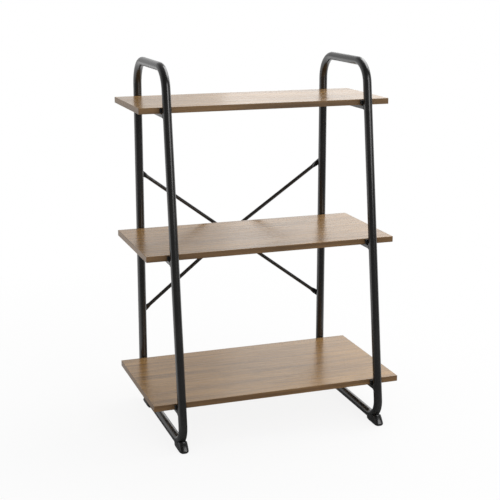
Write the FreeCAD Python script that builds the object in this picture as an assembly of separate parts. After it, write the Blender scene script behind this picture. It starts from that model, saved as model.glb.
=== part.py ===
import FreeCAD, Part
import math
import os

from FreeCAD import Placement, Rotation, Vector

# Open three-tier bookcase, in millimetres: two bent-tube side frames, three laminated boards that rest on
# crossbars between stops, a rear cross brace of two bowed rods, and plastic feet under the bottom rails.
# X runs to the right, -Y to the front and +Z up. While the pieces are made, y = 0 is the rear legs' axis.
# The sealed frame tubes and crossbars are solid inside.

# Side frames: one closed loop of round tube each, with a bend at every corner
tube_diameter = 22.0
overall_height = 945.0
base_reach = 402.0           # rear leg axis to front leg axis, at the bottom rail
handle_reach = 280.0         # the same, at the bar on top
rear_bottom_bend = 48.0      # bend radii, at the tube's axis
rear_top_bend = 65.0
front_top_bend = 60.0
front_bottom_bend = 48.0
seat_gap = 0.15              # between the tube and what is fixed to it

# Boards
board_width = 660.0
board_overhang = 66.0        # board ends beyond the frames' tube axes
board_thickness = 15.0
board_arris = 0.8
bottom_board_top = 119.0     # heights of the upper faces above the floor
middle_board_top = 485.0
handle_rise = 105.0          # top of the loops above the top board's upper face

# Crossbars: rectangular bars under each board
crossbar_width = 20.0
crossbar_height = 10.0
crossbar_corner = 1.5

# Stops: blocks between the legs and the board edges
front_stop_width = 30.0
rear_stop_width = 18.0
stop_height = 11.0
stop_drop = 2.0              # top of the block below the board's upper face
stop_depth = 6.0             # from the tube's surface to the board's edge, at half the board's thickness
stop_corner = 1.5
stop_gap = 0.3               # between a stop and its board

# Cross brace
brace_diameter = 10.0
brace_upper_height = 637.0
brace_lower_height = 243.0
brace_bow = 23.0             # how far the crossing stands behind the flattened ends
brace_bend = 120.0
crossing_gap = 0.1
tab_width = 14.0
tab_thickness = 3.0
tab_edge = 0.7               # bevel along the flat's edges
tab_end = 8.0                # flat beyond the screw's axis
tab_corner = 4.0
tab_length = 16.0            # screw's axis to the rod's side of the flat
tab_taper = 16.0             # length over which the flat swells into the round rod

# Screws that hold the brace
screw_diameter = 6.0
screw_bite = 9.0             # depth inside the leg
screw_head_width = 10.0
screw_head_height = 4.0
hole_gap = 0.1

# Feet
foot_sole = 3.5              # tube's underside above the floor
foot_width = 24.8
foot_wrap = 13.0             # height of the side walls at the heel
foot_bevel = 5.0             # along the sole's edge
foot_gap = 0.2
front_foot_length = 61.5
toe_reach = 10.5             # toe in front of the front leg's axis at the rail
toe_taper = 26.0             # length over which the toe narrows
toe_width = 20.5
toe_bulge = 4.0
toe_rake = 15.0              # how far the toe's face leans back towards its top
toe_height = 26.0
toe_top_width = 11.8
rear_foot_front = 92.5       # front end of the rear foot, before the rear leg's axis
rear_foot_length = 60.0
heel_bulge = 2.0

# Places worked out from the dimensions
tube_radius = tube_diameter / 2
brace_radius = brace_diameter / 2
frame_spacing = board_width - 2 * board_overhang         # between the two frames' tube axes
rail_z = foot_sole + tube_radius
handle_z = overall_height - tube_radius
top_board_top = overall_height - handle_rise
lean = (base_reach - handle_reach) / (handle_z - rail_z)
tube_half_depth = tube_radius * math.hypot(1.0, lean)    # of the leaning leg, measured level
board_rear = -tube_radius - stop_depth
tab_middle = tube_radius + seat_gap + tab_thickness / 2
tab_back = tab_middle + tab_thickness / 2
brace_middle = (brace_upper_height + brace_lower_height) / 2
crossing_y = tab_middle + brace_bow
crossing_step = brace_radius + crossing_gap / 2          # each rod's axis from the crossing
toe_y = -base_reach - toe_reach
rear_reach = max(crossing_y + crossing_step + brace_radius, tab_back + screw_head_height)
origin_y = (toe_y + rear_reach) / 2

boards = {"bottom": bottom_board_top, "middle": middle_board_top, "top": top_board_top}
sides = {"left": -frame_spacing / 2, "right": frame_spacing / 2}


def front_leg_y(z):
    """Front leg's axis at height z."""
    return lean * (z - rail_z) - base_reach


def board_front(bottom):
    """Front edge of a board whose underside is at the height bottom."""
    return front_leg_y(bottom + board_thickness / 2) + tube_half_depth + stop_depth


def placed(shape, position, rotation=Rotation()):
    """Copy of a shape, turned and then moved."""
    copy = shape.copy()
    copy.Placement = Placement(position, rotation).multiply(copy.Placement)
    return copy


def outline(points):
    """Closed polygon through the points."""
    return Part.makePolygon(points + points[:1])


def corner_arc(before, corner, after, radius):
    """Start, centre and end of the arc that rounds one corner of a path."""
    back = (before - corner).normalize()
    ahead = (after - corner).normalize()
    half_angle = back.getAngle(ahead) / 2
    setback = radius / math.tan(half_angle)
    centre = corner + (back + ahead).normalize() * (radius / math.sin(half_angle))
    return corner + back * setback, centre, corner + ahead * setback


def disc(radius, centre, along):
    """Round section across a path."""
    return Part.Face(Part.Wire(Part.makeCircle(radius, centre, along)))


def square(half, centre, along):
    """Square section across a path that runs in a plane of constant x."""
    across = Vector(half, 0, 0)
    upward = along.cross(across).normalize() * half
    corners = [across + upward, upward - across, -across - upward, across - upward]
    return Part.Face(outline([centre + corner for corner in corners]))


def bend(section, half, arc):
    """Bar along an arc, given by its start, centre and end."""
    start, centre, end = arc
    axis = (start - centre).cross(end - centre)
    turn = math.degrees((start - centre).getAngle(end - centre))
    return section(half, start, axis.cross(start - centre)).revolve(centre, axis, turn)


def run(section, half, start, end):
    """Bar straight from start to end."""
    return section(half, start, end - start).extrude(end - start)


def frame_loop(section, half):
    """The side frame's closed path as a bar of the given section and half width, in the plane x = 0."""
    rear_bottom = Vector(0, 0, rail_z)
    rear_top = Vector(0, 0, handle_z)
    front_top = Vector(0, -handle_reach, handle_z)
    front_bottom = Vector(0, -base_reach, rail_z)
    corners = [rear_bottom, rear_top, front_top, front_bottom]
    radii = [rear_bottom_bend, rear_top_bend, front_top_bend, front_bottom_bend]
    arcs = []
    for i, radius in enumerate(radii):
        following = corners[(i + 1) % len(corners)]
        arcs.append(corner_arc(corners[i - 1], corners[i], following, radius))
    pieces = []
    for i, arc in enumerate(arcs):
        pieces.append(run(section, half, arcs[i - 1][2], arc[0]))
        pieces.append(bend(section, half, arc))
    return pieces[0].fuse(pieces[1:]).removeSplitter()


def side_frame():
    """Tube loop with the holes for the brace's screws in the back of its rear leg, in the plane x = 0."""
    hole = screw_diameter / 2 + hole_gap
    depth = screw_bite + hole_gap
    start = tube_radius - depth
    return frame_loop(disc, tube_radius).cut(
        [Part.makeCylinder(hole, tube_radius, Vector(0, start, z), Vector(0, 1, 0))
         for z in (brace_lower_height, brace_upper_height)])


def board(bottom):
    """Laminated board with softened edges."""
    front = board_front(bottom)
    corner = Vector(-board_width / 2, front, bottom)
    panel = Part.makeBox(board_width, board_rear - front, board_thickness, corner)
    return panel.makeChamfer(board_arris, panel.Edges)


def crossbar(bottom):
    """Bar under a board, coped to both legs."""
    foot_z = bottom - crossbar_height
    front = front_leg_y(foot_z)
    bar = Part.makeBox(crossbar_width, -front, crossbar_height, Vector(-crossbar_width / 2, front, foot_z))
    long_edges = [edge for edge in bar.Edges if math.isclose(edge.BoundBox.YLength, -front)]
    bar = bar.makeChamfer(crossbar_corner, long_edges).cut(frame_loop(disc, tube_radius + seat_gap))
    return max(bar.Solids, key=lambda solid: solid.Volume)


def stop(width, profile):
    """Block with a given side profile and bevelled upright edges."""
    face = Part.Face(outline([Vector(-width / 2, y, z) for y, z in profile]))
    block = face.extrude(Vector(width, 0, 0))
    upright = [edge for edge in block.Edges if edge.BoundBox.ZLength > stop_height / 2]
    return block.makeChamfer(stop_corner, upright)


def stop_levels(bottom):
    """Heights of a stop's lower and upper face."""
    top = bottom + board_thickness - stop_drop
    return top - stop_height, top


def front_stop(bottom):
    """Stop behind the front leg, with a front face that leans as the leg does."""
    low, high = stop_levels(bottom)
    rear = board_front(bottom) - stop_gap
    behind_leg = tube_half_depth + seat_gap
    profile = [(front_leg_y(low) + behind_leg, low), (rear, low), (rear, high),
               (front_leg_y(high) + behind_leg, high)]
    return stop(front_stop_width, profile)


def rear_stop(bottom):
    """Stop in front of the rear leg."""
    low, high = stop_levels(bottom)
    front = board_rear + stop_gap
    rear = -tube_radius - seat_gap
    return stop(rear_stop_width, [(front, low), (rear, low), (rear, high), (front, high)])


def eight_sided(half_width, half_thickness, bevel, centre, thickwise):
    """Corners of a bevelled rectangle, with its width along Z and a given direction for its thickness."""
    inner_width = half_width - bevel
    inner_thickness = half_thickness - bevel
    quarter = [(half_width, inner_thickness), (inner_width, half_thickness)]
    upper = quarter + [(-z, y) for z, y in reversed(quarter)]
    points = upper + [(-z, -y) for z, y in upper]
    return [centre + thickwise * y + Vector(0, 0, z) for z, y in points]


def tapered(first, last):
    """Solid between two outlines with as many corners, its sides divided into triangles."""
    faces = [Part.Face(outline(first)), Part.Face(outline(last))]
    for i in range(len(first)):
        faces.append(Part.Face(outline([first[i - 1], first[i], last[i]])))
        faces.append(Part.Face(outline([first[i - 1], last[i], last[i - 1]])))
    return Part.Solid(Part.makeShell(faces))


def brace_end(flat_start, rod_end, rod_upward, sign):
    """Flattened and drilled end of a rod, towards -X or +X, that swells into the round rod at rod_end."""
    octagon_half = brace_radius * math.cos(math.pi / 8)
    octagon_bevel = octagon_half - brace_radius * math.sin(math.pi / 8)
    swelling = eight_sided(octagon_half, octagon_half, octagon_bevel, rod_end, rod_upward)
    seat = Vector(sign * flat_start, 0, 0)
    flat = eight_sided(tab_width / 2, tab_thickness / 2, tab_edge, seat, Vector(0, 1, 0))
    flat_length = tab_length + tab_end
    bar = Part.Face(outline(flat)).extrude(Vector(sign * flat_length, 0, 0))
    nose = flat_start + flat_length
    half = [(flat_start, tab_width), (nose - tab_corner, tab_width / 2), (nose, tab_width / 2 - tab_corner)]
    plan = half + [(x, -z) for x, z in reversed(half)]
    plan_face = Part.Face(outline([Vector(sign * x, -tab_thickness, z) for x, z in plan]))
    hole = Part.makeCylinder(screw_diameter / 2 + hole_gap, 2 * tab_thickness,
                             Vector(sign * (flat_start + tab_length), -tab_thickness, 0), Vector(0, 1, 0))
    bar = bar.common(plan_face.extrude(Vector(0, 2 * tab_thickness, 0))).cut(hole)
    return [tapered(flat, swelling), bar]


def brace_rod(bow):
    """Rod along X about x = 0, bowed towards +Y at its middle, with its flattened ends at y = 0."""
    flat_start = math.hypot(frame_spacing, brace_upper_height - brace_lower_height) / 2 - tab_length
    round_end = flat_start - tab_taper
    rise = brace_bend - bow
    turn = math.atan2(flat_start, rise) - math.acos(brace_bend / math.hypot(flat_start, rise))
    centre = Vector(0, -rise, 0)
    upward = {sign: Vector(sign * math.sin(turn), math.cos(turn), 0) for sign in (-1, 1)}
    arc_ends = {sign: centre + upward[sign] * brace_bend for sign in upward}
    pieces = [bend(disc, brace_radius, (arc_ends[-1], centre, arc_ends[1]))]
    for sign in upward:
        rod_end = Vector(sign * round_end, tab_taper * math.tan(turn), 0)
        pieces.append(run(disc, brace_radius, arc_ends[sign], rod_end))
        pieces.extend(brace_end(flat_start, rod_end, upward[sign], sign))
    return pieces[0].fuse(pieces[1:]).removeSplitter()


def brace_screw():
    """Hexagon-headed screw along +Z with its head's seat at z = 0 and the head below."""
    corner = screw_head_width / math.sqrt(3)
    turns = [math.radians(60 * i) for i in range(6)]
    hexagon = outline([Vector(corner * math.cos(turn), corner * math.sin(turn), 0) for turn in turns])
    head = Part.Face(hexagon).extrude(Vector(0, 0, -screw_head_height))
    length = tab_thickness + seat_gap + screw_bite
    return head.fuse(Part.makeCylinder(screw_diameter / 2, length))


def foot_plan(heel, toe, toe_half, bulge):
    """Plan outline on the floor: straight heel, parallel sides, then a taper to a pointed toe."""
    forward = math.copysign(1.0, toe - heel)
    half = [(foot_width / 2, heel), (foot_width / 2, toe - forward * toe_taper),
            (toe_half, toe - forward * bulge)]
    points = half + [(0, toe)] + [(-x, y) for x, y in reversed(half)]
    return Part.Face(outline([Vector(x, y, 0) for x, y in points]))


def foot_block(plan, height):
    """Block over a plan, with bevelled lower edges."""
    block = plan.extrude(Vector(0, 0, height))
    lower = [edge for edge in block.Edges if edge.BoundBox.ZMax < foot_bevel / 2]
    return block.makeChamfer(foot_bevel, lower)


def channelled(block):
    """Foot with a channel that follows the tube."""
    cup = block.cut(frame_loop(square, tube_radius + foot_gap))
    return max(cup.Solids, key=lambda solid: solid.Volume)


def front_foot():
    """Foot under the front bend, with a raked and narrowing toe in front of it."""
    heel = toe_y + front_foot_length
    crest = toe_y + toe_rake
    block = foot_block(foot_plan(heel, toe_y, toe_width / 2, toe_bulge), toe_height)
    side = [(heel, 0), (heel, foot_wrap), (crest, toe_height), (toe_y, foot_bevel), (toe_y, 0)]
    side_face = Part.Face(outline([Vector(-foot_width, y, z) for y, z in side]))
    half = [(foot_width / 2, 0), (foot_width / 2, foot_wrap), (toe_top_width / 2, toe_height)]
    front = half + [(-x, z) for x, z in reversed(half)]
    front_face = Part.Face(outline([Vector(x, toe_y, z) for x, z in front]))
    block = block.common(side_face.extrude(Vector(2 * foot_width, 0, 0)))
    return channelled(block.common(front_face.extrude(Vector(0, front_foot_length, 0))))


def rear_foot():
    """Foot under the bottom rail, just in front of the rear bend."""
    front = -rear_foot_front
    plan = foot_plan(front, front + rear_foot_length, foot_width / 2, heel_bulge)
    return channelled(foot_block(plan, foot_wrap))


def export(name, shapes):
    """One STEP file per node, with the origin under the middle of the whole bookcase."""
    moved = [placed(shape, Vector(0, -origin_y, 0)) for shape in shapes]
    whole = moved[0] if len(moved) == 1 else Part.makeCompound(moved)
    whole.exportStep(os.path.join("parts", name + ".step"))
    state = "valid" if whole.isValid() else "INVALID"
    print(name, len(whole.Solids), "solids", round(whole.Volume), "mm3", state)


def make_frames():
    """Side frames and their feet."""
    pieces = {"side_frame": side_frame(), "front_foot": front_foot(), "rear_foot": rear_foot()}
    for side, x in sides.items():
        for name, shape in pieces.items():
            export(side + "_" + name, [placed(shape, Vector(x, 0, 0))])


def make_tiers():
    """Boards with what carries and holds each of them."""
    for tier, top in boards.items():
        bottom = top - board_thickness
        export(tier + "_shelf", [board(bottom)])
        pieces = {"crossbar": crossbar(bottom), "front_stop": front_stop(bottom)}
        pieces["rear_stop"] = rear_stop(bottom)
        for side, x in sides.items():
            for name, shape in pieces.items():
                export("_".join((tier, side, name)), [placed(shape, Vector(x, 0, 0))])


def make_brace():
    """Crossed rods behind the boards and the screws that hold them."""
    tilt = math.degrees(math.atan2(brace_upper_height - brace_lower_height, frame_spacing))
    seat = Vector(0, tab_middle, brace_middle)
    rods = {"falling": (tilt, brace_bow - crossing_step), "rising": (-tilt, brace_bow + crossing_step)}
    for name, (angle, bow) in rods.items():
        export("brace_rod_" + name, [placed(brace_rod(bow), seat, Rotation(Vector(0, 1, 0), angle))])

    # A screw turned about X by 90 degrees points to the front, with its head at the back
    forward = Rotation(Vector(1, 0, 0), 90)
    fastener = brace_screw()
    export("brace_screws", [placed(fastener, Vector(x, tab_back, z), forward)
                            for x in sides.values() for z in (brace_lower_height, brace_upper_height)])


def main():
    os.makedirs("parts", exist_ok=True)
    make_frames()
    make_tiers()
    make_brace()


main()
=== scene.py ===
"""Finished surfaces of an open three-tier bookcase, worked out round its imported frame."""

import math
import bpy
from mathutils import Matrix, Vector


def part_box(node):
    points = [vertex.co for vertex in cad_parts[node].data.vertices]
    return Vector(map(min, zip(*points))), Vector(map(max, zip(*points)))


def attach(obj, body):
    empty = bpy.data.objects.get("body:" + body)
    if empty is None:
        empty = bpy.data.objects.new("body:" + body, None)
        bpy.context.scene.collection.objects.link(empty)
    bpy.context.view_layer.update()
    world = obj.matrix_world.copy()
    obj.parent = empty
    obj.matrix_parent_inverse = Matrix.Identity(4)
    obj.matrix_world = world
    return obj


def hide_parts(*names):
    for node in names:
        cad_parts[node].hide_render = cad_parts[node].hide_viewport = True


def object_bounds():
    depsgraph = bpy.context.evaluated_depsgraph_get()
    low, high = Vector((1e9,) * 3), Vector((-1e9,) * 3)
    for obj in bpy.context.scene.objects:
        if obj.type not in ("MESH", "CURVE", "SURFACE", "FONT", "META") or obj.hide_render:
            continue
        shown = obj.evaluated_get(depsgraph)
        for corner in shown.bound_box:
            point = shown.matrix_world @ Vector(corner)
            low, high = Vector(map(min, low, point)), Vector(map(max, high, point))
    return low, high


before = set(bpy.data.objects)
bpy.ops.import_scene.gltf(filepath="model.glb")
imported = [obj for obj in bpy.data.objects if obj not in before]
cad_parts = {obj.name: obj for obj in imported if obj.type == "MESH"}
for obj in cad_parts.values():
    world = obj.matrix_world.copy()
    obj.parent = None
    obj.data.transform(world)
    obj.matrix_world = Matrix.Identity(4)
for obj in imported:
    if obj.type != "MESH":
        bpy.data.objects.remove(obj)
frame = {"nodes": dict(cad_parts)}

from types import SimpleNamespace
from typing import NamedTuple

import bmesh
import bpy
import numpy as np
from bpy.props import FloatProperty, FloatVectorProperty, PointerProperty

bl_info = {
    "name": "Open Bookcase",
    "version": (1, 0, 0),
    "blender": (4, 5, 0),
    "location": "3D View > Sidebar > Bookcase",
    "description": "Builds the finished surfaces of an open bookcase round its packed frame",
    "category": "Object",
}

CAD_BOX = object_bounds()
SIDES = ("left", "right")
TIERS = ("bottom", "middle", "top")

# Fineness of the meshes: divisions of a round form, or points along a stretch
TUBE_SIDES = 56
BEND_STEPS = 28
EDGE_STEPS = 5
BEAD_SIDES = 12
RIPPLE_POINTS = 6
ROD_SIDES = 40
ROD_ARC_POINTS = 8
ROD_RUN_POINTS = 12
ROD_TAPER_POINTS = 22
ROD_NOSE_POINTS = 14
HEAD_SIDES = 72
DOME_POINTS = 16
RIM_POINTS = 5
FOOT_SIDES = 144
FOOT_POINTS = 9
OUTLINE_FINENESS = 60

# Shading of the meshes: weight of large faces, and angles beyond which an edge shows as sharp
FACE_WEIGHT = 100
HEXAGON_CREASE = math.radians(28)
MOULDED_CREASE = math.radians(50)

# Flattened rod ends: power of the nose, its narrowest share, how it thins, and how square the flat gets
NOSE_POWER = 2.4
NOSE_TIP = 1e-4
NOSE_THINNING = 0.3
THINNING_POWER = 12
FLAT_SQUARENESS = 4.0

# Brace screw's head from its seat up: shares of the flange's radius, then of the hexagon's inner radius, each
# with its share of the head's height
FLANGE_RINGS = ((0.97, 0.0), (1.0, 0.06), (1.0, 0.20), (0.95, 0.28))
HEXAGON_LEVELS = (0.30, 0.86)
CONE_RINGS = ((1.04, 0.93), (0.93, 1.0), (0.55, 0.95), (0.10, 0.93))

# Shelf screw's head, in parts of its radius and its height
PAN_MIDDLE = 0.02
PAN_SHOULDER = 0.90
PAN_RIM = 0.93
PAN_POWER = 3.2
SLOT_HALF = 0.13
SLOT_REACH = 0.58
SLOT_FADE = 0.10
SLOT_DEPTH = 0.55

# Feet: powers of the outline at the heel, the toe and the rim
HEEL_POWER = 7.0
TOE_POWER = 3.6
RIM_POWER = 2.7

# Channel of a foot: its rings in walls from the rim, how near they come to the spine, the spine's share of
# the foot's length, and the rise of its lip in walls
CHANNEL_RINGS = (0.3, 1.0, 1.6, 3.0, 5.0, 7.0, 9.0, 9.5)
CHANNEL_LIMIT = 0.995
SPINE_SHARE = 0.75
LIP_RISE = 0.15

# Ranges of values: the whole of a share, and most of a noise
WHOLE = (0.0, 1.0)
MOST = (0.3, 0.7)


class Pattern(NamedTuple):
    """Noise stretched along X, Y and Z by its scales per metre, and the span over which it sets in."""
    stretch: tuple
    detail: float
    span: tuple = MOST
    distortion: float = 0.0
    start: tuple = (11.3, 7.7, 5.1)


FIGURE = Pattern((2.6, 26.0, 26.0), 3.0, (0.30, 0.68), 0.5)
STREAK = Pattern((2.2, 70.0, 70.0), 4.0, (0.48, 0.72), 0.4, (3.3, 9.7, 6.4))
SWIRL = Pattern((0.75, 7.5, 7.5), 1.5, (0.35, 1.0), 0.6, (4.4, 2.1, 8.2))
FIBRE = Pattern((6.0, 260.0, 260.0), 4.0, (0.35, 0.70))
PORES = Pattern((26.0, 1100.0, 1100.0), 2.0, (0.60, 0.72))
DUST = Pattern((9.0, 9.0, 9.0), 3.0, (0.45, 0.75))
PEEL = Pattern((650.0, 650.0, 650.0), 2.0)
FLOW = Pattern((30.0, 70.0, 70.0), 3.0, (0.4, 0.7), 0.8)
SCUFFS = Pattern((1400.0, 250.0, 900.0), 2.0, (0.62, 0.75))
CLOUD = Pattern((260.0, 260.0, 260.0), 3.0)
TURNING = Pattern((3000.0, 400.0, 3000.0), 2.0)
SPECKLE = Pattern((40.0, 40.0, 40.0), 2.0)

# How the patterns change a finish: gains on its colour, shares of the changed colour, and haze
DUST_GAIN = 1.9
DUST_HAZE = 0.003
DUST_SHARE = 0.5
FLOW_GAIN = 2.2
FLOW_SHARE = 0.6
CLOUD_GAIN = 0.72
SPECKLE_GAIN = 0.985

# How far the roughness strays below and above its setting, and what pores and scuffs add to it
LAMINATE_STRAY = (0.04, 0.06)
COAT_STRAY = (0.03, 0.05)
PLASTIC_STRAY = (0.04, 0.04)
ZINC_STRAY = (0.08, 0.08)
PORE_ROUGHNESS = 0.16
SCUFF_ROUGHNESS = 0.15
FLOOR_ROUGHNESS = 0.9

# Reliefs: strength, and depth in metres, and the fibres' height beside that of the pores
GRAIN_RELIEF = (0.14, 0.00015)
PEEL_RELIEF = (0.02, 0.0001)
SCUFF_RELIEF = (0.03, 0.0001)
TURNING_RELIEF = (0.1, 0.0001)
FIBRE_HEIGHT = 0.4

# Inputs and output of the Mix node for each kind of data
MIX_SOCKETS = {"VECTOR": (4, 5, 1), "RGBA": (6, 7, 2)}

# Floor: white as the camera sees it, half its width, and the distances between which it changes, in metres
WHITE = (1.0, 1.0, 1.0, 1.0)
FLOOR_HALF = 9.0
SHADOW_SPAN = (0.5, 1.6)
# Distances from the middle over which the painted shade that mirrors see on the floor near the bookcase fades
# out
PAINTED_SHADE_SPAN = (0.30, 0.70)
FLOOR_FRONT_SPAN = (-0.5, 0.1)

# Parts of a direction between which what mirrors see of the sky changes: to the rear, to the right and up
SKY_REAR_SPAN = (-0.3, 0.5)
SKY_RIGHT_SPAN = (-0.30, 0.15)
SKY_HIGH_SPAN = (0.30, 0.70)

# Lights: place, width and height, in metres
KEY_LAMP = ((1.3, 0.5, 2.3), 1.8, 1.4)
FRONT_LAMP = ((1.15, -2.60, 1.65), 1.5, 1.8)
REAR_LAMP = ((1.62, 1.91, 1.0), 2.2, 1.3)


# Settings that a user may change

def length(name, description, default):
    """Length in metres."""
    return FloatProperty(name=name, description=description, default=default, unit="LENGTH", precision=4)


def share(name, description, default):
    """Share between 0 and 1."""
    return FloatProperty(name=name, description=description, default=default, min=0.0, max=1.0, precision=3,
                         subtype="FACTOR")


def number(name, description, default):
    """Plain number."""
    return FloatProperty(name=name, description=description, default=default, min=0.0, precision=3)


def wattage(name, description, default):
    """Power of a light in watts."""
    return FloatProperty(name=name, description=description, default=default, unit="POWER")


def rotation(name, description, degrees):
    """Angle, given in degrees."""
    return FloatProperty(name=name, description=description, default=math.radians(degrees), unit="ROTATION")


def colour(name, description, default):
    """Linear colour."""
    return FloatVectorProperty(name=name, description=description, default=default, size=3, subtype="COLOR",
                               min=0.0, max=1.0)


class FrameSizes(bpy.types.PropertyGroup):
    """Sizes of the tube loops, crossbars, stops and boards that their boxes don't give."""
    base_reach: length("Base reach", "Rear leg to front leg at the bottom rail, between axes", 0.402)
    handle_reach: length("Handle reach", "Rear leg to front leg at the bar on top, between axes", 0.280)
    rear_bottom_bend: length("Rear bottom bend", "Bend radius at the tube's axis", 0.048)
    rear_top_bend: length("Rear top bend", "Bend radius at the tube's axis", 0.065)
    front_top_bend: length("Front top bend", "Bend radius at the tube's axis", 0.060)
    front_bottom_bend: length("Front bottom bend", "Bend radius at the tube's axis", 0.048)
    bar_corner: length("Crossbar corner", "Radius along the crossbars' edges", 0.0018)
    bead: length("Weld bead", "Half thickness of the weld beads", 0.0015)
    bead_ripple: length("Weld ripple", "Distance between two ripples of a weld bead", 0.0016)
    bead_swell: share("Weld swell", "Part of its half thickness by which a bead ripples", 0.06)
    stop_corner: length("Stop corner", "Radius of the stops' upright edges", 0.0016)
    stop_edge: length("Stop edge", "Radius along the stops' upper and lower edges", 0.0008)
    board_corner: length("Board corner", "Radius of the boards' upright edges", 0.0012)
    board_edge: length("Board edge", "Radius along the boards' upper and lower edges", 0.0009)


class BraceSizes(bpy.types.PropertyGroup):
    """Sizes of the crossed rods and of the screws."""
    rod: length("Rod", "Diameter of the brace rods", 0.010)
    bend: length("Rod bend", "Bend radius at the crossing", 0.120)
    upper: length("Upper screws", "Height of the upper screws", 0.637)
    lower: length("Lower screws", "Height of the lower screws", 0.243)
    seat_gap: length("Seat gap", "Between a leg and the flat of a rod", 0.00015)
    flat_width: length("Flat width", "Width of a flattened rod end", 0.014)
    flat_thickness: length("Flat thickness", "Thickness of a flattened rod end", 0.003)
    flat_length: length("Flat length", "Screw axis to the rod's side of the flat", 0.016)
    flat_end: length("Flat end", "Flat beyond the screw axis", 0.008)
    flat_taper: length("Flat taper", "Length over which the flat swells into the rod", 0.016)
    head_width: length("Hexagon", "Width across the flats of a brace screw's head", 0.010)
    head_height: length("Head height", "Height of a brace screw's head", 0.004)
    flange: length("Flange", "Radius of the flange under a brace screw's head", 0.0066)
    pan_radius: length("Pan head", "Radius of the heads of the shelf screws", 0.0042)
    pan_height: length("Pan height", "Height of the heads of the shelf screws", 0.0026)
    shelf_screws: share("Shelf screws", "Their place from a crossbar's ends, in parts of its length", 0.22)


class FootSizes(bpy.types.PropertyGroup):
    """Sizes of the moulded feet that their boxes don't give."""
    sole_round: length("Sole rounding", "Radius along the lower edge", 0.0062)
    wall: length("Wall", "Thickness of the walls beside the tube", 0.0013)
    heel_height: length("Heel height", "Height of the walls at the heel", 0.013)
    toe_taper: length("Toe taper", "Length over which the toe narrows", 0.0245)
    toe_rake: length("Toe rake", "How far the toe's face leans back", 0.015)
    toe_swell: length("Toe swell", "How far the toe's face bulges", 0.0012)
    tube_gap: length("Tube gap", "Between the foot and the tube", 0.0002)


class BoardLook(bpy.types.PropertyGroup):
    """Colours and finish of the wood-effect laminate."""
    light: colour("Light wood", "Lightest tone of the laminate", (0.440, 0.250, 0.085))
    middle: colour("Middle wood", "Tone of most of the laminate", (0.300, 0.169, 0.066))
    dark: colour("Dark wood", "Tone of the rings and dark streaks", (0.145, 0.080, 0.036))
    # Edge band tint: partly the banding's own colour, partly painted shade that darkens every edge of the
    # boards
    band: colour("Edge band", "Tint of the edge bands", (0.55, 0.53, 0.60))
    gloss: colour("Gloss", "Tint of the laminate's reflections, seen from above", (1.0, 0.88, 0.70))
    streaks: share("Streaks", "Strength of the dark streaks", 0.75)
    rings: share("Rings", "Strength of the rings", 0.22)
    ring_turns: number("Ring turns", "Radians of ring pattern over the swirl's whole range", 95.0)
    fibres: share("Fibres", "Strength of the dark fibres", 0.35)
    pores: share("Pores", "Strength of the dark pores", 0.45)
    roughness: share("Roughness", "Roughness of the laminate between its pores", 0.25)
    band_roughness: share("Band roughness", "Roughness of the edge bands", 0.40)
    refraction: number("Refraction", "Index of refraction of the laminate's resin", 1.60)


class BlackLook(bpy.types.PropertyGroup):
    """Colours and finish of the black pieces and of the plating."""
    coat: colour("Black coat", "Enamel on tubes, bars and rods", (0.0105, 0.0100, 0.0095))
    plastic: colour("Black plastic", "Moulded feet", (0.0085, 0.0082, 0.0080))
    zinc: colour("Zinc", "Plating of the screws", (0.60, 0.60, 0.58))
    gloss: share("Gloss", "Specular level of the enamel and of the plastic", 1.0)
    coat_roughness: share("Coat roughness", "Roughness of the enamel", 0.22)
    plastic_roughness: share("Plastic roughness", "Roughness of the feet", 0.24)
    zinc_roughness: share("Zinc roughness", "Roughness of the plating", 0.34)


class StageLook(bpy.types.PropertyGroup):
    """Floor, lights and camera."""
    floor: colour("Floor", "Pale floor", (0.84, 0.84, 0.84))
    shadow: share("Shadow", "Part of the floor's own shading that shows near the bookcase", 0.12)
    sky: share("Sky", "Strength of the light from all round", 0.68)
    dim: share("Dim front", "Strength of what mirrors see in front of the bookcase", 0.12)
    left: share("Dim left", "Strength of what mirrors see on the left of the bookcase", 0.60)
    # Painted shade: how dark mirrors see the floor under and next to the bookcase
    painted_contact_shade: share("Contact", "Strength of what mirrors see of the floor under the bookcase", 0.15)
    ceiling: share("Ceiling", "Strength of what mirrors see high up behind the bookcase", 0.35)
    key: wattage("Key light", "Power of the light high on the right", 27.0)
    front: wattage("Front light", "Power of the tall light in front", 20.0)
    rear: wattage("Rear light", "Power of the wide light behind", 5.6)
    camera: FloatVectorProperty(name="Camera", description="Place of the camera", size=3, subtype="XYZ",
                                unit="LENGTH", default=(-0.9762, -2.7479, 1.1769))
    turn: rotation("Turn", "Camera's turn to the right", 19.274)
    tilt: rotation("Tilt", "Camera's tilt to the floor", 12.639)
    lens: FloatProperty(name="Lens", description="Focal length in millimetres", default=82.25, unit="CAMERA")
    shift: FloatProperty(name="Shift", description="Vertical shift of the lens", default=-0.06)


class BookcaseSettings(bpy.types.PropertyGroup):
    """All settings of the bookcase."""
    frame: PointerProperty(type=FrameSizes)
    brace: PointerProperty(type=BraceSizes)
    foot: PointerProperty(type=FootSizes)
    board: PointerProperty(type=BoardLook)
    black: PointerProperty(type=BlackLook)
    stage: PointerProperty(type=StageLook)


def settings():
    """Settings of this scene."""
    return bpy.context.scene.bookcase


# Surfaces as arrays of points

def unit(vectors):
    """Vectors brought to length one."""
    return vectors / np.linalg.norm(vectors, axis=-1, keepdims=True)


def ease(values):
    """Smooth step from 0 to 1, with level ends: 3 t squared less 2 t cubed."""
    step = np.clip(values, 0.0, 1.0)
    return step * step * (3.0 - 2.0 * step)


def power_curve(values, power):
    """Sign of each value times its size to the given power."""
    return np.sign(values) * np.abs(values) ** power


def raised(plan, levels):
    """Plan points lifted to their levels."""
    return np.concatenate([plan, levels[..., None]], axis=-1)


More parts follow.
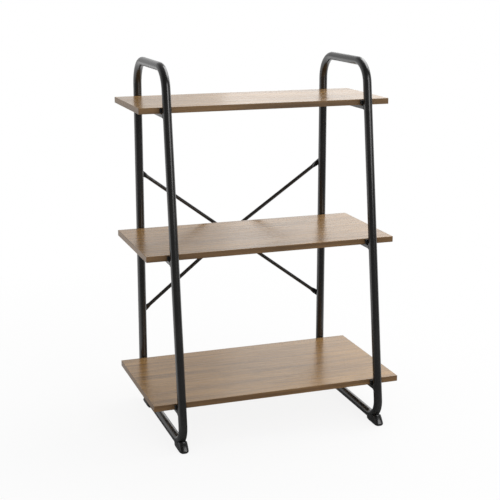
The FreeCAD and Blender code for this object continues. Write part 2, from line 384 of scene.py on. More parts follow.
def shell(rings, closed=False):
    """Vertices, quads and end caps of a surface given as rings of points, which may close on itself."""
    rows, columns = rings.shape[:2]
    row = np.arange(rows if closed else rows - 1)[:, None]
    column = np.arange(columns)[None, :]
    beside = (column + 1) % columns
    below = (row + 1) % rows * columns
    here = row * columns
    quads = np.stack([here + column, here + beside, below + beside, below + column], axis=-1).reshape(-1, 4)
    ends = [] if closed else [np.arange(columns), np.arange(columns) + (rows - 1) * columns]
    return rings.reshape(-1, 3), quads, ends


def corner_arc(before, corner, after, radius):
    """Points and directions along the arc that rounds a corner: its centre plus the radius times
    cosine a of the first spoke and sine a of the heading, for a from 0 to the turn."""
    back = unit(before - corner)
    ahead = unit(after - corner)
    half = math.acos(float(back @ ahead)) / 2
    start = corner + back * radius / math.tan(half)
    centre = corner + unit(back + ahead) * radius / math.sin(half)
    spoke = unit(start - centre)
    turn = np.linspace(0.0, math.pi - 2 * half, BEND_STEPS + 1)[:, None]
    points = centre + radius * (np.cos(turn) * spoke - np.sin(turn) * back)
    return points, -np.sin(turn) * spoke - np.cos(turn) * back


def swept(points, across, upward, radius, sides):
    """Round bar: each path point plus its radius times cosine u across and sine u upward."""
    angle = np.linspace(0.0, 2 * math.pi, sides, endpoint=False)[None, :, None]
    spokes = np.cos(angle) * across[:, None] + np.sin(angle) * upward[:, None]
    return points[:, None] + np.reshape(radius, (-1, 1, 1)) * spokes


def rounded_rectangle(half_width, half_height, radius):
    """Outline of a rectangle with quarter circles at its corners, anticlockwise."""
    quarter = np.linspace(0.0, math.pi / 2, EDGE_STEPS + 1)[None, :]
    starts = np.arange(4)[:, None] * math.pi / 2
    angle = quarter + starts
    x = (half_width - radius) * np.sign(np.cos(starts + math.pi / 4)) + radius * np.cos(angle)
    y = (half_height - radius) * np.sign(np.sin(starts + math.pi / 4)) + radius * np.sin(angle)
    return np.stack([x, y], axis=-1).reshape(-1, 2)


def rounded_block(low, high, corner, edge):
    """Block with rounded edges: its plan outline, drawn in by edge times 1 - cosine a while the height runs
    by edge times 1 - sine a, for a from the lower face to the wall and on to the upper face."""
    middle = (low + high) / 2
    half = (high - low) / 2
    angle = np.linspace(0.0, math.pi / 2, EDGE_STEPS + 1)
    inset = np.concatenate([edge * (1 - np.sin(angle)), edge * (1 - np.cos(angle))])
    height = np.concatenate([low[2] + edge * (1 - np.cos(angle)), high[2] - edge * (1 - np.sin(angle))])
    outline = rounded_rectangle(half[0], half[1], corner)
    plan = middle[:2] + outline * (1 - inset[:, None, None] / half[:2])
    return raised(plan, np.broadcast_to(height[:, None], plan.shape[:2])), inset


def node_box(node):
    """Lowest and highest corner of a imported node, as arrays."""
    low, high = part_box(node)
    return np.array(low), np.array(high)


def side_lines(side):
    """Axes of one side frame, from its box and the two reaches."""
    sizes = settings().frame
    low, high = node_box(side + "_side_frame")
    radius = (high[0] - low[0]) / 2
    lines = SimpleNamespace(radius=radius, x=(low[0] + high[0]) / 2, rear_y=high[1] - radius,
                            rail_z=low[2] + radius, handle_z=high[2] - radius)
    lines.base_y = lines.rear_y - sizes.base_reach
    lines.handle_y = lines.rear_y - sizes.handle_reach
    lines.lean = (lines.handle_y - lines.base_y) / (lines.handle_z - lines.rail_z)
    return lines


def front_leg_y(lines, z):
    """Front leg's axis at height z."""
    return lines.base_y + lines.lean * (z - lines.rail_z)


def linked(name, data):
    """New object in the scene."""
    item = bpy.data.objects.new(name, data)
    bpy.context.scene.collection.objects.link(item)
    return item


def add_piece(name, shells, slot, nodes=(), flat_faces=False, crease=None):
    """Joins shells into one mesh that rides with the bookcase and stands for the named nodes."""
    counts = [len(points) for points, _, _ in shells]
    starts = np.concatenate([[0], np.cumsum(counts)[:-1]])
    points = np.concatenate([points for points, _, _ in shells])
    quads = np.concatenate([quads + start for (_, quads, _), start in zip(shells, starts)])
    ends = [end + start for (_, _, caps), start in zip(shells, starts) for end in caps]
    mesh = bpy.data.meshes.new(name)
    mesh.from_pydata(points, [], quads.tolist() + [end.tolist() for end in ends])
    outward = bmesh.new()
    outward.from_mesh(mesh)
    bmesh.ops.recalc_face_normals(outward, faces=outward.faces)
    outward.to_mesh(mesh)
    outward.free()
    mesh.shade_smooth()
    if crease:
        mesh.set_sharp_from_angle(angle=crease)
    mesh.materials.append(finish_of(slot))
    piece = linked(name, mesh)
    if flat_faces:
        piece.modifiers.new("Flat faces", "WEIGHTED_NORMAL").weight = FACE_WEIGHT
    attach(piece, "root")
    if nodes:
        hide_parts(*nodes)
    return piece


def side_frame(lines):
    """Closed tube loop: a circle carried round four straight runs and four arcs in a plane of constant x."""
    sizes = settings().frame
    corners = np.array([[lines.x, lines.rear_y, lines.rail_z], [lines.x, lines.rear_y, lines.handle_z],
                        [lines.x, lines.handle_y, lines.handle_z], [lines.x, lines.base_y, lines.rail_z]])
    radii = (sizes.rear_bottom_bend, sizes.rear_top_bend, sizes.front_top_bend, sizes.front_bottom_bend)
    around = zip(np.roll(corners, 1, axis=0), corners, np.roll(corners, -1, axis=0), radii)
    arcs = [corner_arc(*corner) for corner in around]
    points = np.concatenate([arc_points for arc_points, _ in arcs])
    headings = np.concatenate([arc_headings for _, arc_headings in arcs])
    across = np.broadcast_to(np.array([1.0, 0.0, 0.0]), points.shape)
    return shell(swept(points, across, np.cross(headings, across), lines.radius, TUBE_SIDES), closed=True)


def bar_ends(lines, profile, middle_z):
    """Where a bar's profile meets the two legs: the rear leg's axis less the tube's half depth at that x,
    which is the root of radius squared less x squared, and the front leg's axis plus that depth stretched by
    the lean."""
    x = profile[:, 0]
    z = middle_z + profile[:, 1]
    depth = np.sqrt(lines.radius ** 2 - x ** 2)
    front = front_leg_y(lines, z) + depth * math.hypot(1.0, lines.lean)
    rear = lines.rear_y - depth
    return [np.stack([lines.x + x, y, z], axis=-1) for y in (front, rear)]


def crossbar(lines, node):
    """Bar from leg to leg: a rounded rectangle between the two coped end rings, with a weld bead on each."""
    sizes = settings().frame
    low, high = node_box(node)
    half = (high - low) / 2
    profile = rounded_rectangle(half[0], half[2], sizes.bar_corner)
    front, rear = bar_ends(lines, profile, (low[2] + high[2]) / 2)
    return [shell(np.stack([front, rear])), weld_bead(front, 1.0), weld_bead(rear, -1.0)]


def weld_bead(ring, sign):
    """Rippled bead round a bar's end: a circle carried along the end ring, its radius swelling with the sine
    of the distance round the ring."""
    sizes = settings().frame
    steps = np.linalg.norm(np.roll(ring, -1, axis=0) - ring, axis=-1)
    run = np.concatenate([[0.0], np.cumsum(steps)])
    count = RIPPLE_POINTS * round(run[-1] / sizes.bead_ripple)
    place = np.linspace(0.0, run[-1], count, endpoint=False)
    points = np.stack([np.interp(place, run, np.append(line, line[0])) for line in ring.T], axis=-1)
    heading = unit(np.roll(points, -1, axis=0) - np.roll(points, 1, axis=0))
    along = np.broadcast_to(np.array([0.0, sign, 0.0]), points.shape)
    outward = unit(np.cross(heading, along))
    radius = sizes.bead * (1 + sizes.bead_swell * np.sin(place / sizes.bead_ripple * 2 * math.pi))
    return shell(swept(points, outward, np.cross(heading, outward), radius, BEAD_SIDES), closed=True)


def stop_block(lines, node):
    """Stop as a rounded block. A front stop's points lean with the leg, fully at its front and not at its
    rear."""
    sizes = settings().frame
    low, high = node_box(node)
    slope = lines.lean if "front" in node else 0.0
    low[1] += slope * (high[2] - low[2]) / 2
    rings, _ = rounded_block(low, high, sizes.stop_corner, sizes.stop_edge)
    weight = (high[1] - rings[..., 1]) / (high[1] - low[1])
    rings[..., 1] += slope * (rings[..., 2] - (low[2] + high[2]) / 2) * weight
    return shell(rings)


def rod_ends(lines):
    """Depth of the flats' middle behind the legs, and the places along a rod, from its middle, where its
    round part ends, its flat starts, its screw sits and its nose ends."""
    sizes = settings().brace
    screw = math.hypot(lines.x, (sizes.upper - sizes.lower) / 2)
    flat_start = screw - sizes.flat_length
    return SimpleNamespace(y=lines.rear_y + lines.radius + sizes.seat_gap + sizes.flat_thickness / 2,
                           round_end=flat_start - sizes.flat_taper, flat_start=flat_start, screw=screw,
                           nose=screw + sizes.flat_end)


def rod_line(ends, bow):
    """Places along a rod and its depth there: a circle at the crossing and its tangents to the flats. Their
    slope is the angle of a flat's start seen from the circle's centre, less the angle whose cosine is the
    circle's radius over that distance."""
    bend = settings().brace.bend
    rise = bend - bow
    turn = math.atan2(ends.flat_start, rise) - math.acos(bend / math.hypot(ends.flat_start, rise))
    arc_end = bend * math.sin(turn)
    rounding = (1 - np.cos(np.linspace(0.0, math.pi / 2, ROD_NOSE_POINTS))) * (ends.nose - ends.screw)
    outer = np.concatenate([np.linspace(0.0, arc_end, ROD_ARC_POINTS),
                            np.linspace(arc_end, ends.round_end, ROD_RUN_POINTS)[1:],
                            np.linspace(ends.round_end, ends.screw, ROD_TAPER_POINTS)[1:],
                            ends.nose - rounding[::-1][1:]])
    x = np.concatenate([-outer[::-1], outer[1:]])
    on_arc = np.sqrt(np.maximum(bend ** 2 - x ** 2, 0.0)) - rise
    on_run = np.maximum(ends.flat_start - np.abs(x), 0.0) * math.tan(turn)
    return x, np.where(np.abs(x) < arc_end, on_arc, on_run)


def rod_section(ends, away):
    """Half width, half depth and power of a rod's section at a distance from its middle: a circle that eases
    into a wide thin flat, which narrows along a superellipse at its nose."""
    sizes = settings().brace
    radius = sizes.rod / 2
    flattened = ease((away - ends.round_end) / sizes.flat_taper)
    reach = np.clip((away - ends.screw) / sizes.flat_end, 0.0, 1.0)
    narrowed = np.maximum(1 - reach ** NOSE_POWER, NOSE_TIP) ** (1 / NOSE_POWER)
    thinned = 1 - NOSE_THINNING * reach ** THINNING_POWER
    half_width = (radius + (sizes.flat_width / 2 - radius) * flattened) * narrowed
    half_depth = (radius + (sizes.flat_thickness / 2 - radius) * flattened) * thinned
    return half_width[:, None], half_depth[:, None], 2 / (2 + FLAT_SQUARENESS * flattened[:, None])


def brace_rod(lines, node, sign):
    """Bowed rod with flattened ends: superellipses of the rod's section carried along its bowed line, turned
    to run from screw to screw."""
    sizes = settings().brace
    ends = rod_ends(lines)
    x, depth = rod_line(ends, node_box(node)[1][1] - sizes.rod / 2 - ends.y)
    half_width, half_depth, power = rod_section(ends, np.abs(x))
    angle = np.linspace(0.0, 2 * math.pi, ROD_SIDES, endpoint=False)[None, :]
    z = half_width * power_curve(np.cos(angle), power)
    y = ends.y + depth[:, None] + half_depth * power_curve(np.sin(angle), power)
    tilt = sign * math.atan2(sizes.upper - sizes.lower, 2 * abs(lines.x))
    along = x[:, None] * math.cos(tilt) + z * math.sin(tilt)
    height = (sizes.upper + sizes.lower) / 2 - x[:, None] * math.sin(tilt) + z * math.cos(tilt)
    return shell(np.stack([along, y, height], axis=-1))


def brace_screw(x, y, z):
    """Flanged hexagon head facing +Y: rings whose radius is round on the flange and follows the apothem over
    the cosine of the angle from each flat's middle on the hexagon, cut by a cone at the top."""
    sizes = settings().brace
    angle = np.linspace(0.0, 2 * math.pi, HEAD_SIDES, endpoint=False)
    apothem = sizes.head_width / 2
    hexagon = apothem / np.cos((angle + math.pi / 6) % (math.pi / 3) - math.pi / 6)
    rings = [(np.full(HEAD_SIDES, sizes.flange * part), level) for part, level in FLANGE_RINGS]
    rings += [(hexagon, level) for level in HEXAGON_LEVELS]
    rings += [(np.minimum(hexagon, apothem * part), level) for part, level in CONE_RINGS]
    radii = np.stack([radius for radius, _ in rings])
    levels = sizes.head_height * np.array([level for _, level in rings])
    height = np.broadcast_to(levels[:, None], radii.shape)
    return shell(np.stack([x + radii * np.cos(angle), y + height, z + radii * np.sin(angle)], axis=-1))


def faded_slot(wide, long):
    """Depth of a slot as a share, which fades out past its half width and its reach by smooth steps."""
    radius = settings().brace.pan_radius
    fade = SLOT_FADE * radius
    inside_width = ease((SLOT_HALF * radius + fade - np.abs(wide)) / fade)
    inside_reach = ease((SLOT_REACH * radius + fade - np.abs(long)) / fade)
    return inside_width * inside_reach


def pan_screw(x, y, z):
    """Pan head facing down: a dome over rings of radius r, less a cross of two slots."""
    sizes = settings().brace
    angle = np.linspace(0.0, 2 * math.pi, HEAD_SIDES, endpoint=False)[None, :]
    inner = np.linspace(PAN_MIDDLE, PAN_SHOULDER, DOME_POINTS)
    rim = np.linspace(PAN_RIM, 1.0, RIM_POINTS)
    spread = np.concatenate([inner, rim])[:, None]
    across = sizes.pan_radius * spread * np.cos(angle)
    ahead = sizes.pan_radius * spread * np.sin(angle)
    dome = sizes.pan_height * np.sqrt(np.maximum(1 - spread ** PAN_POWER, 0.0))
    cross = np.maximum(faded_slot(across, ahead), faded_slot(ahead, across))
    height = z - np.maximum(dome - SLOT_DEPTH * sizes.pan_height * cross, 0.0)
    return shell(np.stack([x + across, y + ahead, height], axis=-1))


def foot_outline(angle, half_width, heel, waist, toe, heel_power, toe_power):
    """Plan outline of two half superellipses that meet at the waist, one to the toe and one to the heel."""
    lengthwise = np.cos(angle)
    power = np.where(lengthwise > 0, 2 / toe_power, 2 / heel_power)
    reach = np.where(lengthwise > 0, toe - waist, heel - waist)
    x = half_width * power_curve(np.sin(angle), power)
    y = waist + reach * np.abs(lengthwise) ** power
    return np.stack([x, y], axis=-1)


def even_angles(count, *shape):
    """Angles that spread points evenly along a foot's outline, read from its length run."""
    fine = np.linspace(0.0, 2 * math.pi, OUTLINE_FINENESS * count + 1)
    steps = np.linalg.norm(np.diff(foot_outline(fine, *shape), axis=0), axis=-1)
    run = np.concatenate([[0.0], np.cumsum(steps)])
    return np.interp(np.linspace(0.0, run[-1], count, endpoint=False), run, fine)


def tube_underside(lines, x, y):
    """Height of the tube's underside at a place near the floor: the rail, with both bends rising as circles
    whose radius grows by the tube's half depth at that x."""
    sizes = settings().frame
    tube = lines.radius + settings().foot.tube_gap
    depth = np.sqrt(np.maximum(tube ** 2 - x ** 2, 0.0))
    opening = math.pi / 2 - math.atan(lines.lean)
    front_centre = lines.base_y + sizes.front_bottom_bend / math.tan(opening / 2)
    rear_centre = lines.rear_y - sizes.rear_bottom_bend
    before = np.maximum(front_centre - y, 0.0)
    after = np.maximum(y - rear_centre, 0.0)
    bend = np.where(before > 0, sizes.front_bottom_bend, sizes.rear_bottom_bend)
    outer = bend + depth
    rise = lines.rail_z + bend - np.sqrt(np.maximum(outer ** 2 - np.maximum(before, after) ** 2, 0.0))
    return np.where(np.abs(x) < tube, rise, np.inf)


def moulded_foot(lines, node, toe_height, toe_sign, toe_power, rake):
    """Foot as rings: the sole's outline drawn in by a quarter circle, walls that run from the outline to a
    raked rim outline whose height grows towards the toe, and a channel that lies under the tube. Where the
    tube passes over an end of the foot, all heights there shrink in the ratio of the tube's underside to the
    rim."""
    sizes = settings().foot
    low, high = node_box(node)
    half_width = (high[0] - low[0]) / 2
    toe, heel = (low[1], high[1]) if toe_sign < 0 else (high[1], low[1])
    waist = toe - toe_sign * sizes.toe_taper
    crest = toe - toe_sign * rake
    angle = even_angles(FOOT_SIDES, half_width, heel, waist, toe, HEEL_POWER, toe_power)
    rim_plan = foot_outline(angle, half_width, heel, waist - toe_sign * rake / 2, crest, HEEL_POWER,
                            min(toe_power, RIM_POWER))
    grown = np.clip((rim_plan[:, 1] - heel) / (crest - heel), 0.0, 1.0)
    full_height = sizes.heel_height + (toe_height - sizes.heel_height) * grown
    shrink = np.minimum(tube_underside(lines, *rim_plan.T) / full_height, 1.0)
    rim_height = full_height * shrink

    turn = np.linspace(0.0, math.pi / 2, FOOT_POINTS)[:, None]
    inset = sizes.sole_round * (1 - np.sin(turn))
    sole_plan = foot_outline(angle, half_width - inset, heel + toe_sign * inset, waist,
                             toe - toe_sign * inset, HEEL_POWER, toe_power)
    sole = raised(sole_plan, sizes.sole_round * (1 - np.cos(turn)) * shrink)

    lift = np.linspace(0.0, 1.0, FOOT_POINTS)[1:, None, None]
    walls = sole[-1] + (raised(rim_plan, rim_height) - sole[-1]) * lift
    swell = sizes.toe_swell * np.clip(2 * grown - 1, 0.0, 1.0) * (rake > 0)
    walls[..., 1] += toe_sign * swell * np.sin(math.pi * lift[..., 0])

    spine = np.stack([np.zeros(FOOT_SIDES), (rim_plan[:, 1] - waist) * SPINE_SHARE + waist], axis=-1)
    inward = np.minimum(np.array(CHANNEL_RINGS) * sizes.wall / half_width, CHANNEL_LIMIT)
    plan = rim_plan + (spine - rim_plan) * inward[:, None, None]
    under = tube_underside(lines, plan[..., 0], plan[..., 1])
    channel = raised(plan, np.minimum(rim_height + LIP_RISE * sizes.wall, under))

    rings = np.concatenate([sole, walls, channel])
    rings[..., 0] += lines.x
    return shell(rings)


# Materials as node trees

def new_material(name):
    """Empty material with its tree, its shader and its object coordinates."""
    material = bpy.data.materials.new(name)
    material.use_nodes = True
    tree = material.node_tree
    place = add_node(tree, "ShaderNodeTexCoord").outputs["Object"]
    return material, tree, tree.nodes["Principled BSDF"], place


def add_node(tree, kind, inputs=(), **options):
    """Node with its options set and its inputs given as values or as sockets to link."""
    node = tree.nodes.new(kind)
    for option, value in options.items():
        setattr(node, option, value)
    for socket, value in dict(inputs).items():
        give(tree, node.inputs[socket], value)
    return node


def give(tree, socket, value):
    """Value or link for one input."""
    if isinstance(value, bpy.types.NodeSocket):
        tree.links.new(value, socket)
    else:
        socket.default_value = value


def opaque(rgb, gain=1.0, haze=0.0):
    """Colour with full alpha, times a gain and with some haze."""
    return tuple(gain * channel + haze for channel in rgb) + (1.0,)


def stretched_noise(tree, place, pattern):
    """Noise of a pattern on object coordinates."""
    mapping = add_node(tree, "ShaderNodeMapping", {"Vector": place, "Scale": pattern.stretch,
                                                   "Location": pattern.start})
    noise = add_node(tree, "ShaderNodeTexNoise", {"Vector": mapping.outputs["Vector"], "Scale": 1.0,
                                                  "Detail": pattern.detail, "Distortion": pattern.distortion})
    return noise.outputs["Fac"]


def ranged(tree, value, span, to_low=0.0, to_high=1.0):
    """Value brought from one span to another, without passing its ends."""
    node = add_node(tree, "ShaderNodeMapRange", {"Value": value, "From Min": span[0], "From Max": span[1],
                                                 "To Min": to_low, "To Max": to_high})
    return node.outputs["Result"]


def uneven(tree, noise, middle, stray):
    """Value that follows a noise from a little under its middle to a little over."""
    return ranged(tree, noise, MOST, middle - stray[0], middle + stray[1])


def maths(tree, operation, first, second=0.0):
    """One sum on two values."""
    return add_node(tree, "ShaderNodeMath", {0: first, 1: second}, operation=operation).outputs[0]


def blended(tree, factor, first, second, data_type="RGBA", blend_type="MIX"):
    """Mix of two colours or of two vectors."""
    before, after, result = MIX_SOCKETS[data_type]
    node = add_node(tree, "ShaderNodeMix", data_type=data_type, blend_type=blend_type)
    give(tree, node.inputs[0], factor)
    give(tree, node.inputs[before], first)
    give(tree, node.inputs[after], second)
    return node.outputs[result]


def add_relief(tree, shader, height, relief):
    """Fine relief on the shader's normal, by its strength and depth."""
    bump = add_node(tree, "ShaderNodeBump", {"Height": height, "Strength": relief[0], "Distance": relief[1]})
    give(tree, shader.inputs["Normal"], bump.outputs["Normal"])


def laminate():
    """Wood-effect laminate with its grain along X, or along Y on the ends: a figured tone, dark streaks,
    rings as the sine of a stretched noise, fibres and pores, with darker bands on the edges, partly the edge
    banding's own colour and partly painted shade."""
    look = settings().board
    material, tree, shader, flat = new_material("laminate")
    part = add_node(tree, "ShaderNodeSeparateXYZ", {0: flat}).outputs
    turned = add_node(tree, "ShaderNodeCombineXYZ", {"X": part["Y"], "Y": part["X"], "Z": part["Z"]})
    end = add_node(tree, "ShaderNodeAttribute", attribute_name="end").outputs["Fac"]
    place = blended(tree, end, flat, turned.outputs[0], data_type="VECTOR")
    figure = stretched_noise(tree, place, FIGURE)
    streak = stretched_noise(tree, place, STREAK)
    swirl = stretched_noise(tree, place, SWIRL)
    rings = maths(tree, "SINE", maths(tree, "MULTIPLY", swirl, look.ring_turns))
    fibre = stretched_noise(tree, place, FIBRE)
    pore = ranged(tree, stretched_noise(tree, place, PORES), PORES.span)
    dark = opaque(look.dark)
    body = blended(tree, ranged(tree, figure, FIGURE.span), opaque(look.middle), opaque(look.light))
    layers = ((streak, STREAK.span, look.streaks), (rings, SWIRL.span, look.rings),
              (fibre, FIBRE.span, look.fibres))
    for pattern, span, strength in layers:
        body = blended(tree, ranged(tree, pattern, span, 0.0, strength), body, dark)
    body = blended(tree, maths(tree, "MULTIPLY", pore, look.pores), body, dark)
    # The band mask tints the edges darker, partly edge banding and partly painted shade, and also sets their
    # roughness
    band = add_node(tree, "ShaderNodeAttribute", attribute_name="band").outputs["Fac"]
    band_and_shade_tone = blended(tree, 1.0, body, opaque(look.band), blend_type="MULTIPLY")
    give(tree, shader.inputs["Base Color"], blended(tree, band, body, band_and_shade_tone))
    rough = maths(tree, "ADD", uneven(tree, fibre, look.roughness, LAMINATE_STRAY),
                  maths(tree, "MULTIPLY", pore, PORE_ROUGHNESS))
    give(tree, shader.inputs["Roughness"], ranged(tree, band, WHOLE, rough, look.band_roughness))
    shader.inputs["IOR"].default_value = look.refraction
    shader.inputs["Specular Tint"].default_value = opaque(look.gloss)
    height = maths(tree, "SUBTRACT", maths(tree, "MULTIPLY", fibre, FIBRE_HEIGHT), pore)
    add_relief(tree, shader, height, GRAIN_RELIEF)
    return material


def black_coat():
    """Black enamel: a fine orange-peel relief, slightly uneven gloss and a little dust in large patches."""
    look = settings().black
    material, tree, shader, place = new_material("enamel")
    dust = stretched_noise(tree, place, DUST)
    dusty = opaque(look.coat, DUST_GAIN, DUST_HAZE)
    tone = blended(tree, ranged(tree, dust, DUST.span, 0.0, DUST_SHARE), opaque(look.coat), dusty)
    give(tree, shader.inputs["Base Color"], tone)
    give(tree, shader.inputs["Roughness"], uneven(tree, dust, look.coat_roughness, COAT_STRAY))
    shader.inputs["Specular IOR Level"].default_value = look.gloss
    add_relief(tree, shader, stretched_noise(tree, place, PEEL), PEEL_RELIEF)
    return material


def black_plastic():
    """Glossy moulded plastic with a faint flow pattern and fine scuffs."""
    look = settings().black
    material, tree, shader, place = new_material("moulding")
    flow = stretched_noise(tree, place, FLOW)
    scuffs = stretched_noise(tree, place, SCUFFS)
    lifted = opaque(look.plastic, FLOW_GAIN)
    tone = blended(tree, ranged(tree, flow, FLOW.span, 0.0, FLOW_SHARE), opaque(look.plastic), lifted)
    give(tree, shader.inputs["Base Color"], tone)
    rough = maths(tree, "ADD", uneven(tree, flow, look.plastic_roughness, PLASTIC_STRAY),
                  ranged(tree, scuffs, SCUFFS.span, 0.0, SCUFF_ROUGHNESS))
    give(tree, shader.inputs["Roughness"], rough)
    shader.inputs["Specular IOR Level"].default_value = look.gloss
    add_relief(tree, shader, scuffs, SCUFF_RELIEF)
    return material


def zinc_plate():
    """Zinc plating: metal with cloudy tone and fine turning marks."""
    look = settings().black
    material, tree, shader, place = new_material("plating")
    cloud = ranged(tree, stretched_noise(tree, place, CLOUD), CLOUD.span)
    marks = stretched_noise(tree, place, TURNING)
    darker = opaque(look.zinc, CLOUD_GAIN)
    give(tree, shader.inputs["Base Color"], blended(tree, cloud, opaque(look.zinc), darker))
    give(tree, shader.inputs["Roughness"], uneven(tree, marks, look.zinc_roughness, ZINC_STRAY))
    shader.inputs["Metallic"].default_value = 1.0
    add_relief(tree, shader, marks, TURNING_RELIEF)
    return material


FINISHES = {"black_steel": ("enamel", black_coat), "wood_laminate": ("laminate", laminate),
            "black_plastic": ("moulding", black_plastic), "zinc_steel": ("plating", zinc_plate)}


def finish_of(slot):
    """Material of a slot, made when it is first needed."""
    name, make = FINISHES[slot]
    return bpy.data.materials.get(name) or make()


def floor_material():
    """Pale floor that the camera sees as white, fully so away from the bookcase and with its shadow near it.
    Mirrors see it white behind the bookcase and dim in front of it, and darkened under it and next to it by
    painted shade. Nothing of it shows from below."""
    look = settings().stage
    material, tree, shader, place = new_material("pale_floor")
    path = add_node(tree, "ShaderNodeLightPath").outputs
    speckle = stretched_noise(tree, place, SPECKLE)
    tone = blended(tree, speckle, opaque(look.floor), opaque(look.floor, SPECKLE_GAIN))
    give(tree, shader.inputs["Base Color"], tone)
    shader.inputs["Roughness"].default_value = FLOOR_ROUGHNESS
    shader.inputs["Specular IOR Level"].default_value = 0.0
    away = add_node(tree, "ShaderNodeVectorMath", {0: place}, operation="LENGTH").outputs["Value"]
    depth = add_node(tree, "ShaderNodeSeparateXYZ", {0: place}).outputs["Y"]
    mirrored = maths(tree, "MAXIMUM", path["Is Glossy Ray"], path["Is Transmission Ray"])
    shown = maths(tree, "MULTIPLY", path["Is Camera Ray"], ranged(tree, away, SHADOW_SPAN, 1 - look.shadow))
    # Floor as mirrors see it: dim in front, and darkened near the bookcase by painted shade
    bright = maths(tree, "MULTIPLY", ranged(tree, depth, FLOOR_FRONT_SPAN, look.dim),
                   ranged(tree, away, PAINTED_SHADE_SPAN, look.painted_contact_shade))
    lit = maths(tree, "MAXIMUM", path["Is Camera Ray"], bright)
    white = add_node(tree, "ShaderNodeEmission", {"Color": WHITE, "Strength": lit})
    above = add_node(tree, "ShaderNodeMixShader", {0: maths(tree, "MAXIMUM", shown, mirrored),
                                                   1: shader.outputs[0], 2: white.outputs[0]})
    clear = add_node(tree, "ShaderNodeBsdfTransparent")
    below = add_node(tree, "ShaderNodeNewGeometry").outputs["Backfacing"]
    mix = add_node(tree, "ShaderNodeMixShader", {0: below, 1: above.outputs[0], 2: clear.outputs[0]})
    tree.links.new(mix.outputs[0], tree.nodes["Material Output"].inputs["Surface"])
    return material


def soft_light(name, place, width, height, power):
    """Area light that faces the middle of the bookcase."""
    data = bpy.data.lights.new(name, "AREA")
    data.shape = "RECTANGLE"
    data.size = width
    data.size_y = height
    data.energy = power
    light = linked(name, data)
    light.location = place
    middle = (CAD_BOX[0] + CAD_BOX[1]) / 2
    light.rotation_euler = (light.location - middle).to_track_quat("Z", "Y").to_euler()


# Operators, one for each group of pieces

class BOOKCASE_OT_side_frames(bpy.types.Operator):
    """Bend the two tube loops"""
    bl_idname = "bookcase.side_frames"
    bl_label = "Side Frames"

    def execute(self, context):
        for side in SIDES:
            loop = side_frame(side_lines(side))
            add_piece(side + "_tube_loop", [loop], "black_steel", [side + "_side_frame"])
        return {"FINISHED"}


class BOOKCASE_OT_boards(bpy.types.Operator):
    """Lay the three boards"""
    bl_idname = "bookcase.boards"
    bl_label = "Boards"

    def execute(self, context):
        sizes = settings().frame
        for tier in TIERS:
            low, high = node_box(tier + "_shelf")
            rings, inset = rounded_block(low, high, sizes.board_corner, sizes.board_edge)
            piece = add_piece(tier + "_board", [shell(rings)], "wood_laminate", [tier + "_shelf"],
                              flat_faces=True)
            # Mask of the rounded edges, where the edge tint with its painted shade and the band roughness
            # apply
            band = np.broadcast_to(1 - inset[:, None] / sizes.board_edge, rings.shape[:2])
            from_end = (high[0] - np.abs(rings[..., 0])) / sizes.board_corner
            for name, values in (("band", band), ("end", band * np.clip(1 - from_end, 0.0, 1.0))):
                layer = piece.data.attributes.new(name, "FLOAT", "POINT")
                layer.data.foreach_set("value", values.ravel().astype(np.float32))
        return {"FINISHED"}


class BOOKCASE_OT_crossbars(bpy.types.Operator):
    """Weld the crossbars between the legs"""
    bl_idname = "bookcase.crossbars"
    bl_label = "Crossbars"

    def execute(self, context):
        for tier in TIERS:
            for side in SIDES:
                node = f"{tier}_{side}_crossbar"
                bar = crossbar(side_lines(side), node)
                add_piece(node + "_welded", bar, "black_steel", [node], flat_faces=True)
        return {"FINISHED"}


class BOOKCASE_OT_stops(bpy.types.Operator):
    """Set the stops before and behind the boards"""
    bl_idname = "bookcase.stops"
    bl_label = "Stops"

    def execute(self, context):
        for tier in TIERS:
            for side in SIDES:
                for end in ("front", "rear"):
                    node = f"{tier}_{side}_{end}_stop"
                    block = stop_block(side_lines(side), node)
                    add_piece(node + "_block", [block], "black_steel", [node], flat_faces=True)
        return {"FINISHED"}


class BOOKCASE_OT_brace(bpy.types.Operator):
    """Cross the two brace rods"""
    bl_idname = "bookcase.brace"
    bl_label = "Brace"

    def execute(self, context):
        lines = side_lines("right")
        for name, sign in (("falling", 1.0), ("rising", -1.0)):
            node = "brace_rod_" + name
            add_piece(node + "_bowed", [brace_rod(lines, node, sign)], "black_steel", [node])
        return {"FINISHED"}


class BOOKCASE_OT_screws(bpy.types.Operator):
    """Drive the brace screws and the shelf screws"""
    bl_idname = "bookcase.screws"
    bl_label = "Screws"

    def execute(self, context):
        sizes = settings().brace
        brace = []
        shelf = []
        for side in SIDES:
            lines = side_lines(side)
            seat = rod_ends(lines).y + sizes.flat_thickness / 2
            brace += [brace_screw(lines.x, seat, z) for z in (sizes.lower, sizes.upper)]
            for tier in TIERS:
                low, high = node_box(f"{tier}_{side}_crossbar")
                inset = sizes.shelf_screws * (high[1] - low[1])
                shelf += [pan_screw(lines.x, y, low[2]) for y in (low[1] + inset, high[1] - inset)]
        add_piece("brace_screw_heads", brace, "zinc_steel", ["brace_screws"], crease=HEXAGON_CREASE)
        add_piece("shelf_screw_heads", shelf, "zinc_steel", crease=MOULDED_CREASE)
        return {"FINISHED"}


class BOOKCASE_OT_feet(bpy.types.Operator):
    """Mould the four feet"""
    bl_idname = "bookcase.feet"
    bl_label = "Feet"

    def execute(self, context):
        sizes = settings().foot
        for side in SIDES:
            lines = side_lines(side)
            front = side + "_front_foot"
            rear = side + "_rear_foot"
            toe_height = node_box(front)[1][2]
            shells = {front: moulded_foot(lines, front, toe_height, -1.0, TOE_POWER, sizes.toe_rake),
                      rear: moulded_foot(lines, rear, sizes.heel_height, 1.0, HEEL_POWER, 0.0)}
            for node, foot in shells.items():
                add_piece(node + "_moulding", [foot], "black_plastic", [node], crease=MOULDED_CREASE)
        return {"FINISHED"}


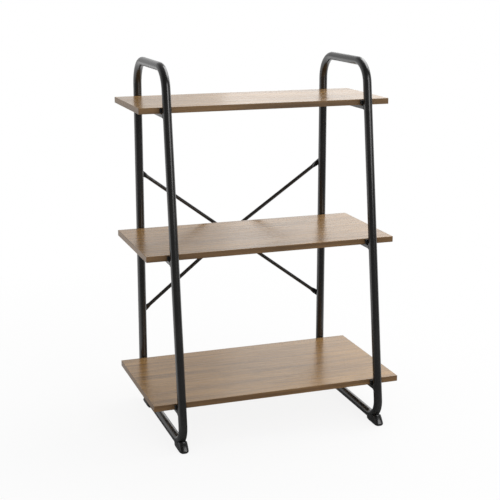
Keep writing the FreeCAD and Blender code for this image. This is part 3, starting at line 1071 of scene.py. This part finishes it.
class BOOKCASE_OT_stage(bpy.types.Operator):
    """Set the floor, the lights and the camera"""
    bl_idname = "bookcase.stage"
    bl_label = "Stage"

    def execute(self, context):
        look = settings().stage
        scene = context.scene
        scene.view_settings.view_transform = "Standard"
        self.lay_floor()
        self.light_sky(scene, look)
        soft_light("key_light", *KEY_LAMP, look.key)
        soft_light("front_light", *FRONT_LAMP, look.front)
        soft_light("rear_light", *REAR_LAMP, look.rear)
        self.place_camera(scene, look)
        return {"FINISHED"}

    def lay_floor(self):
        """Wide square at the height of the soles."""
        mesh = bpy.data.meshes.new("floor")
        corners = FLOOR_HALF * np.array([[-1, -1, 0], [1, -1, 0], [1, 1, 0], [-1, 1, 0]], dtype=float)
        mesh.from_pydata(corners, [], [[0, 1, 2, 3]])
        mesh.materials.append(floor_material())
        linked("floor", mesh)

    def light_sky(self, scene, look):
        """White sky to the camera. Mirrors see it bright low down behind the bookcase, dimmer on the left and
        high up, and dim in front. Everything else gets even soft light from it."""
        world = bpy.data.worlds.new("studio")
        scene.world = world
        world.use_nodes = True
        tree = world.node_tree
        path = add_node(tree, "ShaderNodeLightPath").outputs
        direction = add_node(tree, "ShaderNodeTexCoord").outputs["Generated"]
        part = add_node(tree, "ShaderNodeSeparateXYZ", {0: direction}).outputs
        rear = ranged(tree, part["Y"], SKY_REAR_SPAN, look.dim)
        right = maths(tree, "MULTIPLY", rear, ranged(tree, part["X"], SKY_RIGHT_SPAN, look.left))
        mirrored = maths(tree, "MULTIPLY", right, ranged(tree, part["Z"], SKY_HIGH_SPAN, 1.0, look.ceiling))
        unseen = ranged(tree, path["Is Glossy Ray"], WHOLE, look.sky, mirrored)
        shown = maths(tree, "MAXIMUM", path["Is Camera Ray"], path["Is Transmission Ray"])
        background = tree.nodes["Background"]
        background.inputs["Color"].default_value = WHITE
        give(tree, background.inputs["Strength"], ranged(tree, shown, WHOLE, unseen))

    def place_camera(self, scene, look):
        """Camera at the photograph's place, turned and tilted as stated."""
        data = bpy.data.cameras.new("camera")
        data.lens = look.lens
        data.shift_y = look.shift
        camera = linked("camera", data)
        camera.location = look.camera
        camera.rotation_euler = (math.pi / 2 - look.tilt, 0.0, -look.turn)
        scene.camera = camera


class BOOKCASE_PT_sidebar(bpy.types.Panel):
    """Buttons and settings of the bookcase"""
    bl_idname = "BOOKCASE_PT_sidebar"
    bl_label = "Open Bookcase"
    bl_space_type = "VIEW_3D"
    bl_region_type = "UI"
    bl_category = "Bookcase"

    def draw(self, context):
        for step in STEPS:
            self.layout.operator(step.bl_idname)
        for group in BookcaseSettings.__annotations__:
            box = self.layout.box()
            values = getattr(context.scene.bookcase, group)
            for name in type(values).__annotations__:
                box.prop(values, name)


STEPS = (BOOKCASE_OT_side_frames, BOOKCASE_OT_boards, BOOKCASE_OT_crossbars, BOOKCASE_OT_stops,
         BOOKCASE_OT_brace, BOOKCASE_OT_screws, BOOKCASE_OT_feet, BOOKCASE_OT_stage)
GROUPS = (FrameSizes, BraceSizes, FootSizes, BoardLook, BlackLook, StageLook, BookcaseSettings)
CLASSES = GROUPS + STEPS + (BOOKCASE_PT_sidebar,)


def register():
    """Registers the classes and the settings."""
    for item in CLASSES:
        bpy.utils.register_class(item)
    bpy.types.Scene.bookcase = PointerProperty(type=BookcaseSettings)


def unregister():
    """Removes the settings and the classes."""
    del bpy.types.Scene.bookcase
    for item in reversed(CLASSES):
        bpy.utils.unregister_class(item)


def main():
    """Builds the bookcase and its stage in order."""
    register()
    bpy.ops.bookcase.side_frames()
    bpy.ops.bookcase.boards()
    bpy.ops.bookcase.crossbars()
    bpy.ops.bookcase.stops()
    bpy.ops.bookcase.brace()
    bpy.ops.bookcase.screws()
    bpy.ops.bookcase.feet()
    bpy.ops.bookcase.stage()


if __name__ == "__main__":
    main()
